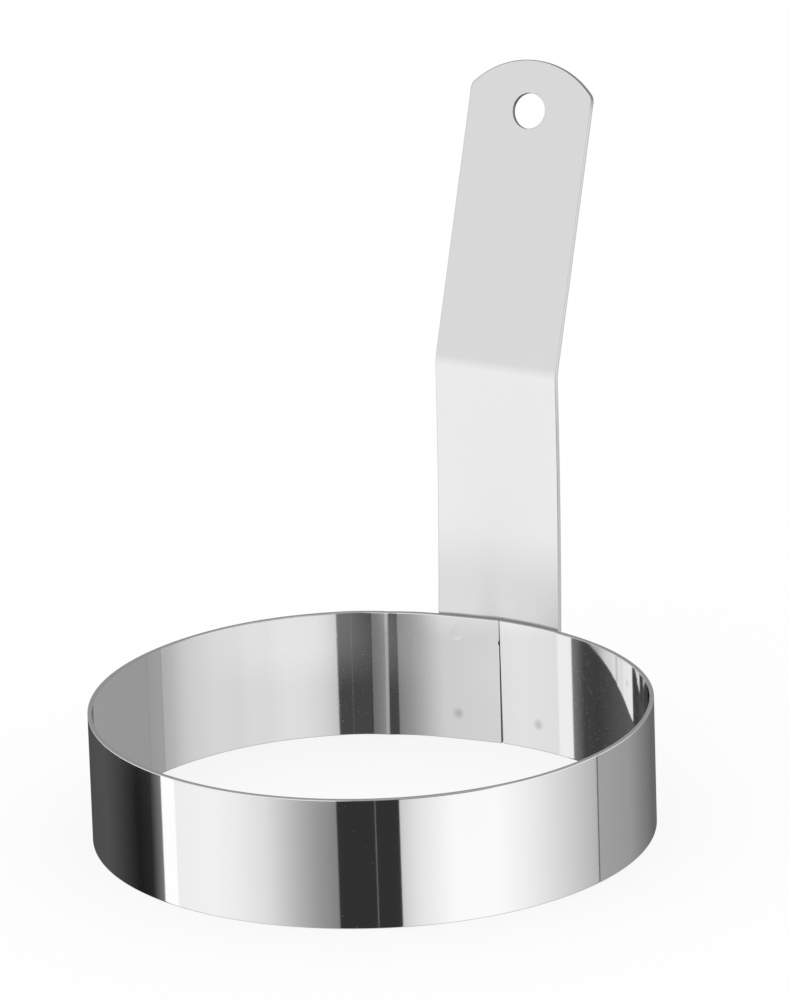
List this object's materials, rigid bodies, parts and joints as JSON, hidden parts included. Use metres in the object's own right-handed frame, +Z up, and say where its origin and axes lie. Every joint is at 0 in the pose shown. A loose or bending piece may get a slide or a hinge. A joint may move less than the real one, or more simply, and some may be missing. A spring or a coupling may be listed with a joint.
{
  "type": "egg ring",
  "caption": "Open cooking ring of rolled polished steel strip, with a bent upright strip handle spot welded over its butt seam and a hanging hole in the handle's rounded end.",
  "frame": {"origin": "middle of the outline on the surface that the ring stands on", "axes": "+Z is up along the ring's axis, +Y points from the ring to the handle, X is across the handle"},
  "size_m": [0.1016, 0.1192, 0.1258],
  "materials": {
    "polished_steel": "mirror polished stainless sheet",
    "satin_steel": "satin stainless strip",
    "weld_steel": "fused stainless, matt"
  },
  "bodies": {
    "root": {"ring_band": "polished_steel", "handle": "satin_steel", "spot_weld_upper_left": "weld_steel", "spot_weld_upper_right": "weld_steel", "spot_weld_lower_left": "weld_steel", "spot_weld_lower_right": "weld_steel"}
  },
  "joints": []
}
